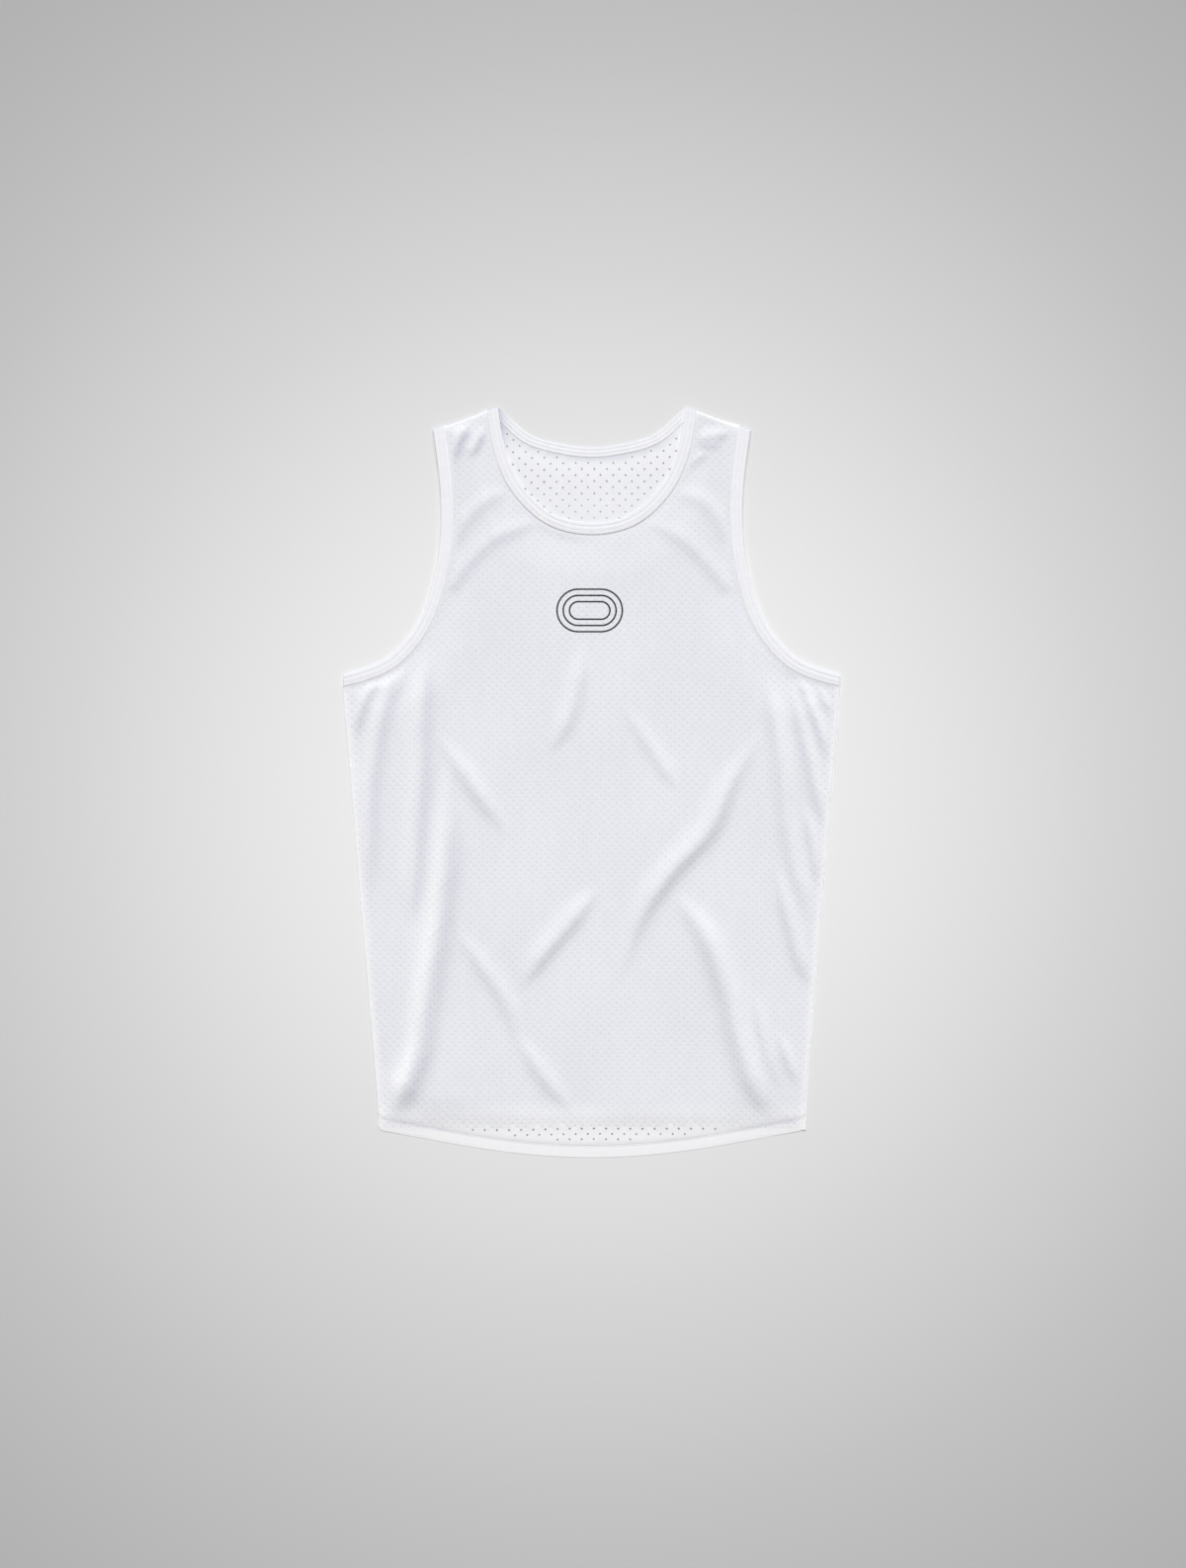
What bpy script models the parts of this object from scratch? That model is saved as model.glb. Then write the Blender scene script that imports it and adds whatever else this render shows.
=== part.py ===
"""Running singlet, laid flat: front up, neck towards +Y, hem towards -Y.

The back panel lies on the surface at z = 0 and the front panel lies on it.
They meet in the side and shoulder seams. One binding runs round the neck
and one round each armhole, folded over at the seams. Both hems are turned
up. Metres, +Z up, +X is the wearer's left. The outlines are given for the
+X half and mirrored.
"""

from math import cos, pi, sin

import bmesh
import bpy
import numpy as np
from mathutils import Vector
from mathutils.geometry import delaunay_2d_cdt

# Cloth
PANEL_WALL = 0.0010
HEM_WALL = 0.0016
BINDING_WALL = 0.0012
SEAM_GAP = 0.0003

# Finished widths
NECK_FRONT_BAND = 0.0115
NECK_BACK_BAND = 0.0100
ARMHOLE_BAND = 0.0115
HEM_DEPTH = 0.0120
HEM_STEP = 0.0015

# How the front panel lies on the back one
PUFF = 0.0015
PUFF_REACH = 0.045
FOLD_CLEARANCE = 0.006
FOLD_FADE = 0.022
FOLD_TAPER = 0.30

# How the bindings fold over the seams
BEND_RADIUS = (BINDING_WALL + SEAM_GAP) / 2
BEND_REACH = BEND_RADIUS + BINDING_WALL / 2
BEND_Z = BINDING_WALL + SEAM_GAP / 2

# Fineness of the meshes
OUTLINE_STEP = 0.011
SIDE_STEP = 0.022
FOLD_STEP = 0.015
CREST_STEP = 0.005
FOLD_POINT_GAP = 0.0058
HEM_POINT_GAP = 0.004
SLOPE_ROWS = (0, 0.75, 1.5)
LATTICE_STEP = 0.023
BACK_LATTICE_STEP = 0.060
LATTICE_GAP = 0.6
BEND_STEPS = 6
SHARP_ANGLE = pi / 4
INSIDE_ONLY = 1
EPSILON = 1e-7

# Outline of the laid garment: (x, y) along each edge, from its upper end.
SHOULDER = ((0.0905, 0.3630), (0.1140, 0.3535), (0.1366, 0.3450), (0.1534, 0.3408))
NECK_FRONT = (
    (0.0905, 0.3630),
    (0.0884, 0.3472),
    (0.0816, 0.3160),
    (0.0668, 0.2856),
    (0.0379, 0.2590),
    (0.0, 0.2504),
)
NECK_BACK = (
    (0.0905, 0.3630),
    (0.0760, 0.3490),
    (0.0608, 0.3366),
    (0.0380, 0.3285),
    (0.0, 0.3234),
)
ARMHOLE = (
    (0.1534, 0.3408),
    (0.1499, 0.3160),
    (0.1466, 0.2880),
    (0.1454, 0.2590),
    (0.1470, 0.2280),
    (0.1517, 0.2000),
    (0.1610, 0.1675),
    (0.1752, 0.1415),
    (0.1958, 0.1205),
    (0.2166, 0.1105),
    (0.2395, 0.1037),
)
SIDE = (
    (0.2400, 0.0922),
    (0.2314, -0.0080),
    (0.2237, -0.1035),
    (0.2154, -0.1990),
    (0.2075, -0.2940),
    (0.2055, -0.3352),
)
HEM_CENTRE_Y = -0.3617
HEM_FLATTENING = 0.3
BACK_HEM_RISE = 0.0094
BACK_HEM_ROUNDNESS = 4

# Underside of the front panel by height above the back hem's edge: it lies on
# the floor below the edge, on the turned-up hem, and then on the plain cloth.
HEM_PROFILE = (
    # above the edge, underside
    (-0.0200, 0.0),
    (-0.0060, HEM_WALL + SEAM_GAP),
    (0.0140, HEM_WALL + SEAM_GAP),
    (0.0260, PANEL_WALL + SEAM_GAP),
)

# The largest folds, as soft ridges: the crest's way, its height, and how far
# the gentle and the steep slope reach, the steep one on its left.
FOLDS = (
    # crest, height, gentle, steep
    (((-0.141, 0.026), (-0.140, -0.050), (-0.147, -0.130), (-0.160, -0.210), (-0.168, -0.262),
      (-0.188, -0.312)), 0.0044, 0.013, 0.012),
    (((-0.160, 0.112), (-0.165, 0.070), (-0.166, 0.010), (-0.170, -0.050), (-0.174, -0.115)),
     0.0022, 0.012, 0.011),
    (((-0.196, 0.092), (-0.202, 0.070), (-0.210, 0.030), (-0.213, -0.030)),
     0.0022, 0.011, 0.010),
    (((-0.079, -0.050), (-0.119, 0.004), (-0.146, 0.043)), 0.0020, 0.012, 0.010),
    (((-0.012, 0.120), (-0.017, 0.080), (-0.040, 0.030)), 0.0018, 0.012, 0.010),
    (((0.160, 0.044), (0.134, 0.000), (0.113, -0.045), (0.076, -0.086), (0.050, -0.124),
      (0.032, -0.176)), 0.0032, 0.015, 0.011),
    (((0.004, -0.105), (-0.027, -0.142), (-0.050, -0.169), (-0.068, -0.198)),
     0.0026, 0.013, 0.010),
    (((-0.073, -0.250), (-0.080, -0.217), (-0.104, -0.179), (-0.130, -0.141)),
     0.0018, 0.012, 0.010),
    (((-0.021, -0.312), (-0.047, -0.282), (-0.070, -0.245)), 0.0018, 0.012, 0.010),
    (((0.171, -0.318), (0.157, -0.292), (0.141, -0.245), (0.131, -0.202), (0.109, -0.146),
      (0.082, -0.108)), 0.0032, 0.014, 0.011),
    (((0.202, -0.105), (0.194, -0.070), (0.184, 0.010), (0.172, 0.090)), 0.0018, 0.012, 0.010),
    (((0.214, -0.010), (0.208, 0.030), (0.196, 0.088)), 0.0018, 0.011, 0.010),
    (((-0.079, 0.277), (-0.096, 0.275), (-0.120, 0.254), (-0.134, 0.236)),
     0.0016, 0.013, 0.010),
    (((0.132, 0.236), (0.120, 0.256), (0.102, 0.273)), 0.0016, 0.013, 0.010),
)

# Colours, linear: bright white mesh cloth and its slightly brighter rib binding
CLOTH_COLOUR = (0.80, 0.81, 0.85, 1.0)
BINDING_COLOUR = (0.86, 0.86, 0.90, 1.0)
ROUGHNESS = 0.85


def smooth(points, step):
    """Points about a step apart on a smooth curve through the given ones."""
    p = np.array(points, float)
    p = np.vstack([2 * p[0] - p[1], p, 2 * p[-1] - p[-2]])
    found = []
    for before, start, end, after in zip(p, p[1:], p[2:], p[3:]):
        count = max(1, round(np.linalg.norm(end - start) / step))
        for t in np.arange(count) / count:
            found.append(
                start
                + 0.5 * (end - before) * t
                + (before - 2.5 * start + 2 * end - 0.5 * after) * t**2
                + 0.5 * (3 * start - before - 3 * end + after) * t**3
            )
    found.append(p[-2])
    return np.array(found)


def soft_step(value):
    """0 below 0, 1 above 1, and a smooth rise between."""
    t = np.clip(value, 0, 1)
    return t * t * (3 - 2 * t)


def mirror(points):
    return np.array(points) * (-1, 1)


def symmetric(points):
    """A half curve that ends on the centre line, as a whole one from -X to +X."""
    return np.vstack([mirror(points), points[-2::-1]])


def right_of(curve):
    """The unit directions at right angles to a curve, on its right-hand side."""
    along = np.gradient(curve, axis=0)
    along /= np.linalg.norm(along, axis=1)[:, None]
    return np.stack([along[:, 1], -along[:, 0]], axis=1)


def unit(way):
    return way / np.linalg.norm(way)


def neck_corner(width):
    """The point on the shoulder seam at +X that lies a width from the neck point."""
    return SHOULDER[0] + unit(np.subtract(SHOULDER[1], SHOULDER[0])) * width


def shoulder_corner(width):
    """The point on the shoulder seam at +X that lies a width from the shoulder tip."""
    return SHOULDER[-1] + unit(np.subtract(SHOULDER[-2], SHOULDER[-1])) * width


def underarm_corner(width):
    """The point on the side seam at +X that lies a width from the armhole's edge."""
    return ARMHOLE[-1] + unit(np.subtract(SIDE[0], ARMHOLE[-1])) * width


def band(free_edge, width, first_sewn, last_sewn):
    """One stretch of a binding: its free edge and, on the right of that, its sewn edge.

    first_sewn and last_sewn are the sewn edge's ends, on the seams that it crosses.
    """
    sewn_edge = free_edge + right_of(free_edge) * width
    sewn_edge[0] = first_sewn
    sewn_edge[-1] = last_sewn
    return free_edge, sewn_edge


def neck_band(points, width):
    """A stretch of the neck binding, from the shoulder seam at -X to the one at +X."""
    corner = neck_corner(NECK_FRONT_BAND)
    return band(smooth(symmetric(points), OUTLINE_STEP), width, mirror(corner), corner)


def armhole_band():
    """A stretch of the armhole binding at +X, from the shoulder seam to the side seam."""
    ends = shoulder_corner(ARMHOLE_BAND), underarm_corner(ARMHOLE_BAND)
    return band(smooth(ARMHOLE, OUTLINE_STEP), ARMHOLE_BAND, *ends)


def shorten(front, back):
    """Ends both stretches where the binding starts to fold over the seams.

    Returns the ways in which their two edges run out over the seam, at each end.
    """
    ways = []
    for end, neighbour in ((0, 1), (-1, -2)):
        pair = [unit(edge[end] - edge[neighbour]) for edge in front]
        for stretch in (front, back):
            for edge, way in zip(stretch, pair):
                edge[end] -= way * BEND_REACH
        ways.append(pair)
    return ways


def beside(stretch):
    """The panel's edge along a stretch of binding: a seam gap past the sewn edge."""
    free_edge, sewn_edge = stretch
    across = sewn_edge - free_edge
    return sewn_edge + across * SEAM_GAP / np.linalg.norm(across, axis=1)[:, None]


def front_hem_y(x):
    """The front hem's edge at each x: round at the centre, straighter to the side seams."""
    corner_x, corner_y = SIDE[-1]
    out = (x / corner_x) ** 2
    return HEM_CENTRE_Y + (corner_y - HEM_CENTRE_Y) * out * (1 + HEM_FLATTENING * (1 - out))


def back_hem_y(x):
    """The back hem's edge: it is cut higher, and meets the front's at the side seams."""
    corner_x, corner_y = SIDE[-1]
    return corner_y + BACK_HEM_RISE * (1 - (x / corner_x) ** BACK_HEM_ROUNDNESS)


def panel_outline(neck, armhole, hem_y):
    """A panel's edge as a closed loop: along the neck to +X, down, along the hem and up."""
    side = smooth([underarm_corner(ARMHOLE_BAND + SEAM_GAP), *SIDE[1:]], SIDE_STEP)
    half = np.vstack(
        [
            neck_corner(NECK_FRONT_BAND + SEAM_GAP),
            SHOULDER[1:-1],
            shoulder_corner(ARMHOLE_BAND + SEAM_GAP),
            beside(armhole),
            side,
        ]
    )
    corner_x = SIDE[-1][0]
    hem_x = np.linspace(corner_x, -corner_x, round(2 * corner_x / OUTLINE_STEP))[1:-1]
    hem = np.column_stack([hem_x, hem_y(hem_x)])
    return np.vstack([beside(neck), half, hem, mirror(half[::-1])])


def edge_distance(points, loop):
    """The distance from each point to the nearest edge of a closed loop."""
    nearest = np.full(len(points), np.inf)
    for start, end in zip(loop, np.roll(loop, -1, axis=0)):
        way = end - start
        t = np.clip((points - start) @ way / (way @ way), 0, 1)
        gap = np.linalg.norm(points - start - t[:, None] * way, axis=1)
        nearest = np.minimum(nearest, gap)
    return nearest


def inside(points, loop):
    """Which points a loop goes round: a line from them to +X crosses it an odd number of times."""
    x, y = points.T
    odd = np.zeros(len(points), bool)
    for (x1, y1), (x2, y2) in zip(loop, np.roll(loop, -1, axis=0)):
        if y1 != y2:
            crossing_x = x1 + (y - y1) * (x2 - x1) / (y2 - y1)
            odd ^= ((y1 > y) != (y2 > y)) & (x < crossing_x)
    return odd


def fold_lift(points, crest, height, gentle, steep):
    """How far one fold lifts the cloth at each point."""
    line = smooth(crest, CREST_STEP)
    offset = points[:, None] - line[None]
    nearest = np.argmin(np.linalg.norm(offset, axis=2), axis=1)
    gap = offset[np.arange(len(points)), nearest]
    across = np.einsum("ij,ij->i", gap, right_of(line)[nearest])
    along = np.sqrt(np.maximum((gap**2).sum(axis=1) - across**2, 0))
    place = nearest / (len(line) - 1)
    taper = soft_step(place / FOLD_TAPER) * soft_step((1 - place) / FOLD_TAPER)
    reach = np.where(across > 0, gentle, steep)
    return height * taper * np.exp(-((across / reach) ** 2) - (along / gentle) ** 2)


def front_underside(points, loop):
    """The height of the front panel's underside at each point."""
    gap = edge_distance(points, loop)
    above_hem = points[:, 1] - back_hem_y(points[:, 0])
    lift = np.interp(above_hem, *np.transpose(HEM_PROFILE))
    lift += PUFF * soft_step(gap / PUFF_REACH)
    fade = soft_step((gap - FOLD_CLEARANCE) / FOLD_FADE)
    return lift + fade * sum(fold_lift(points, *fold) for fold in FOLDS)


def back_underside(points, loop):
    """The back panel lies flat on the surface."""
    return np.zeros(len(points))


def thickness(points, hem_y):
    """The cloth's thickness at each point: more where the hem is turned up."""
    above_hem = points[:, 1] - hem_y(points[:, 0]) - HEM_DEPTH
    return HEM_WALL + (PANEL_WALL - HEM_WALL) * soft_step(above_hem / HEM_STEP)


def rows_above(hem_y, heights):
    """A row of points along a hem at each height above its edge."""
    half = SIDE[-1][0] - OUTLINE_STEP
    x = np.linspace(-half, half, round(2 * half / OUTLINE_STEP))
    return [np.column_stack([x, hem_y(x) + height]) for height in heights]


def fold_rows(folds):
    """Rows of points along each fold's crest and along both its slopes."""
    rows = []
    for crest, _, gentle, steep in folds:
        line = smooth(crest, FOLD_STEP)
        for part in SLOPE_ROWS:
            rows.append(line - right_of(line) * steep * part)
            rows.append(line + right_of(line) * gentle * part)
    return np.vstack(rows)


def lattice(loop, step):
    """Points in staggered rows over a loop's box."""
    low, high = loop.min(axis=0), loop.max(axis=0)
    found = []
    for number, y in enumerate(np.arange(low[1], high[1], step * sin(pi / 3))):
        start = low[0] + number % 2 * step / 2
        found += [(x, y) for x in np.arange(start, high[0], step)]
    return np.array(found)


def spread(kept, candidates, gap):
    """kept, with each candidate added that is a gap away from all before it."""
    for point in candidates:
        if np.linalg.norm(kept - point, axis=1).min() > gap:
            kept = np.vstack([kept, point])
    return kept


def cloth_net(loop, rows, groups):
    """Points and triangles over a loop: its edge, rows kept as edges, and groups of inner points.

    Each group is its points and the least gap between them and what is there.
    """
    points = np.vstack([loop, *rows])
    edges = []
    first = len(loop)
    for row in rows:
        edges += [(i, i + 1) for i in range(first, first + len(row) - 1)]
        first += len(row)
    for candidates, gap in groups:
        within = candidates[inside(candidates, loop)]
        clear = within[edge_distance(within, loop) > gap / 2]
        points = spread(points, clear, gap)
    net = delaunay_2d_cdt(
        [Vector(point) for point in points], edges, [range(len(loop))], INSIDE_ONLY, EPSILON
    )
    return np.array([tuple(v) for v in net[0]]), [tuple(f) for f in net[2]]


def add_object(name, bm, colour):
    """A finished mesh as an object of the singlet, with a material of its own."""
    bmesh.ops.recalc_face_normals(bm, faces=bm.faces)
    mesh = bpy.data.meshes.new(name)
    bm.to_mesh(mesh)
    bm.free()
    mesh.shade_smooth()
    mesh.set_sharp_from_angle(angle=SHARP_ANGLE)
    material = bpy.data.materials.new(name)
    material.use_nodes = True
    shader = material.node_tree.nodes["Principled BSDF"]
    shader.inputs["Base Color"].default_value = colour
    shader.inputs["Roughness"].default_value = ROUGHNESS
    shader.inputs["Metallic"].default_value = 0.0
    mesh.materials.append(material)
    singlet.objects.link(bpy.data.objects.new(name, mesh))


def add_panel(name, loop, hem_y, underside, groups):
    """A panel: a net of triangles at the height of its underside, extruded to its thickness."""
    flat, faces = cloth_net(loop, rows_above(hem_y, (HEM_DEPTH, HEM_DEPTH + HEM_STEP)), groups)
    bm = bmesh.new()
    vertices = [bm.verts.new(point) for point in np.column_stack([flat, underside(flat, loop)])]
    for face in faces:
        bm.faces.new([vertices[i] for i in face])
    extruded = bmesh.ops.extrude_face_region(bm, geom=bm.faces[:])["geom"]
    top = [v for v in extruded if isinstance(v, bmesh.types.BMVert)]
    for vertex, wall in zip(top, thickness(np.array([v.co.xy for v in top]), hem_y)):
        vertex.co.z += wall
    add_object(name, bm, CLOTH_COLOUR)


def section(edges, ways, turn):
    """The binding's four corners at one place, turned from face up (0) to face down (pi).

    edges are the places of its free and its sewn edge, and ways the directions that
    they turn through.
    """
    inner = []
    outer = []
    for place, way in zip(edges, ways):
        axis = np.append(place, BEND_Z)
        normal = np.append(way * sin(turn), cos(turn))
        inner.append(axis + normal * (BEND_REACH - BINDING_WALL))
        outer.append(axis + normal * BEND_REACH)
    return inner + outer[::-1]


def add_binding(name, front, back, ways):
    """A binding as one closed ring: its front stretch, folded over both seams to its back one."""
    first_ways, last_ways = ways
    turns = pi * np.arange(1, BEND_STEPS) / BEND_STEPS
    front_edges = list(zip(*front))
    back_edges = list(zip(*back))
    ring = [section(edges, last_ways, 0) for edges in front_edges]
    ring += [section(front_edges[-1], last_ways, turn) for turn in turns]
    ring += [section(edges, last_ways, pi) for edges in back_edges[::-1]]
    ring += [section(front_edges[0], first_ways, turn) for turn in turns[::-1]]
    bm = bmesh.new()
    corners = [[bm.verts.new(point) for point in points] for points in ring]
    for this, following in zip(corners, corners[1:] + corners[:1]):
        for i in range(4):
            j = (i + 1) % 4
            bm.faces.new((this[i], this[j], following[j], following[i]))
    add_object(name, bm, BINDING_COLOUR)


for existing in list(bpy.data.objects):
    bpy.data.objects.remove(existing, do_unlink=True)
singlet = bpy.data.collections.new("running_singlet")
bpy.context.scene.collection.children.link(singlet)

neck_front = neck_band(NECK_FRONT, NECK_FRONT_BAND)
neck_back = neck_band(NECK_BACK, NECK_BACK_BAND)
neck_ways = shorten(neck_front, neck_back)
armhole_front = armhole_band()
armhole_back = armhole_band()
armhole_ways = shorten(armhole_front, armhole_back)

front_loop = panel_outline(neck_front, armhole_front, front_hem_y)
back_loop = panel_outline(neck_back, armhole_back, back_hem_y)
front_groups = [
    (np.vstack(rows_above(back_hem_y, [height for height, _ in HEM_PROFILE])), HEM_POINT_GAP),
    (fold_rows(FOLDS), FOLD_POINT_GAP),
    (lattice(front_loop, LATTICE_STEP), LATTICE_GAP * LATTICE_STEP),
]
back_groups = [(lattice(back_loop, BACK_LATTICE_STEP), LATTICE_GAP * BACK_LATTICE_STEP)]
add_panel("front_panel", front_loop, front_hem_y, front_underside, front_groups)
add_panel("back_panel", back_loop, back_hem_y, back_underside, back_groups)

add_binding("neck_binding", neck_front, neck_back, neck_ways)
for side_name, place in (("left", np.array), ("right", mirror)):
    add_binding(
        "armhole_binding_" + side_name,
        [place(edge) for edge in armhole_front],
        [place(edge) for edge in armhole_back],
        [[place(way) for way in pair] for pair in armhole_ways],
    )
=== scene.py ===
"""Looks of a running singlet that lies flat: white eyelet knit, bound edges and turned-up hems."""

from math import e, pi, radians

import bmesh
import bpy
import numpy as np
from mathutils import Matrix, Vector
from mathutils.geometry import delaunay_2d_cdt
from mathutils.kdtree import KDTree


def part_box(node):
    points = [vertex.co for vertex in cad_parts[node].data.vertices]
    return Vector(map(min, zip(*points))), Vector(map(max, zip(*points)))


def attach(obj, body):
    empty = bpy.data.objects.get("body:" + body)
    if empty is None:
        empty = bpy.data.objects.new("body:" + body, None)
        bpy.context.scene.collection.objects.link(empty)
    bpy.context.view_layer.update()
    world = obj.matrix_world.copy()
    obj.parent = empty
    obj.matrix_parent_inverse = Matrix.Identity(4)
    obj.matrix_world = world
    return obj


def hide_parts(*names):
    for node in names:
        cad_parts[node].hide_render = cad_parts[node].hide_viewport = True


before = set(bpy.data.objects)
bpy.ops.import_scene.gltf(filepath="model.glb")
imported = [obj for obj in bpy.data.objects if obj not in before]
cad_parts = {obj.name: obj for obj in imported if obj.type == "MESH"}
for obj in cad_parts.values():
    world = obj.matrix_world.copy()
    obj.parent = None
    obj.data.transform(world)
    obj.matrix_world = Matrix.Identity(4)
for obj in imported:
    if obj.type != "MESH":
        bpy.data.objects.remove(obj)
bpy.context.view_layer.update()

MM = 0.001
WELD = 1e-6
CORNER_ANGLE = radians(45)
SHARP_ANGLE = radians(55)
INSIDE_ONLY = 1
NET_EPSILON = 1e-8
UP = np.array([0.0, 0.0, 1.0])

# A panel's edges that a tape covers, and its seams, with the ends of each that are tucked
# under a tape: the end's place in the stretch, and its neighbour's
TAPED_EDGES = ("neck", "armhole_r", "armhole_l")
TUCKED_ENDS = {
    "shoulder_r": ((0, 1), (-1, -2)),
    "side_r": ((0, 1),),
    "side_l": ((-1, -2),),
    "shoulder_l": ((0, 1), (-1, -2)),
}

# Cloth, in millimetres
CLOTH = 0.6
EDGE_STEP = 2.5
TUCK = 1.0
EDGE_ROWS = (0.5, 1.3, 2.5, 4.0)
HEM_ROWS = (0.4, 0.9, 1.8, 3.0, 5.0, 7.0, 9.2, 10.3, 11.2, 12.2, 13.4, 15.0, 18.0)
UNDERSIDE_REACH = 3.0
# How far holes, points and stitches keep off a seam or tape, and points off each other
EDGE_CLEARANCE = 2.0
HEM_ROW_GAP = 0.35
EDGE_ROW_GAP = 0.5
POINT_GAP = 1.3

# How the front lies: its underside and its hem's edge, by height above the back hem
FRONT_REST = (
    # above the back hem, underside
    (-26.0, 0.05),
    (-1.0, 0.26),
    (2.0, 0.36),
    (5.0, 0.50),
    (9.0, 0.77),
    (13.4, 1.04),
    (17.0, 1.15),
    (22.0, 1.21),
    (32.0, 1.25),
)
HEM_EDGE_REST = (
    # above the back hem, underside of the front hem's edge
    (-6.0, 0.05),
    (0.0, 0.24),
)
HEM_REACH = 3.6
# How far the front puffs up away from its edges, rolls into its seams and dips to its tapes
PUFF = 1.5
PUFF_REACH = 45.0
SEAM_HEIGHT = 0.66
SEAM_ROLL = 1.4
NECK_DIP = 0.15
ARMHOLE_DIP = -0.22
TAPE_DIP_REACH = 1.1

# How the back lies: off the floor, a little more under its tapes and inside the neck's
# opening, and in ripples that come up a little way in from its edges
BACK_REST = 0.05
BACK_RISE = 0.30
BACK_RISE_REACH = 3.0
NECK_SWELL = 0.4
NECK_SWELL_REACH = 24.0
BACK_RIPPLE = 0.40
BACK_RIPPLE_SHARE = 0.25
BACK_RIPPLE_REACH = 16.0
BACK_RIPPLE_LENGTHS = (21.0, 34.0)
BACK_HEM_SHARE = 0.5

# Painted light, in shares of the painted shade's full strength: how much paler the front is painted
# along its seams, where light catches them, and the back all over, and the front's own painted shade
# where it comes down past the back hem, below 0 for paler
SEAM_LIGHT = 1.2
SEAM_LIGHT_REACH = 5.0
BACK_LIGHT = 0.7
STEP_LIGHT = (
    # above the back hem, darker by
    (-3.0, -1.6),
    (2.0, -1.2),
    (8.0, -1.05),
    (14.0, -0.9),
    (20.0, -0.5),
    (28.0, 0.0),
)
# The painted shade and highlight that even out steep edges: the slope where it starts, darker
# by towards the light, paler by away from it, and its limits
CLOTH_RIM = (0.25, 5.0, 4.0, -1.4, 1.8)
TAPE_RIM = (0.14, 10.0, 0.0, 0.0, 3.8)
# The most painted light that any point gets
PALEST = -1.75
# The painted shadow of the front's tape on the back, inside the neck's opening at the wearer's right
NECK_SHADOW = 4.2
NECK_SHADOW_REACH = 4.0
NECK_SHADOW_START = 312.0
NECK_SHADOW_RISE = 28.0
NECK_BAND = 11.5
NECK_END_GAP = 0.5

# The turned-up hem seen from outside: how much its surface stands up at each height above
# the edge, and how much painted shade it gets, below 0 for painted light
HEM_RELIEF = (
    # above the edge, raised by
    (0.0, -0.42),
    (1.8, -0.33),
    (5.0, -0.26),
    (9.2, -0.20),
    (10.3, -0.29),
    (11.2, -0.32),
    (12.2, -0.26),
    (13.4, -0.10),
    (15.0, -0.03),
    (18.0, 0.0),
)
HEM_SHADE = (
    # above the edge, darker by
    (0.0, -0.2),
    (3.0, 0.0),
    (9.2, 0.15),
    (10.4, 1.0),
    (12.0, 1.0),
    (13.4, 0.2),
    (18.0, 0.0),
)
HEM_CORNER = 4.0
HEM_CORNER_STEPS = 6
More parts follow.
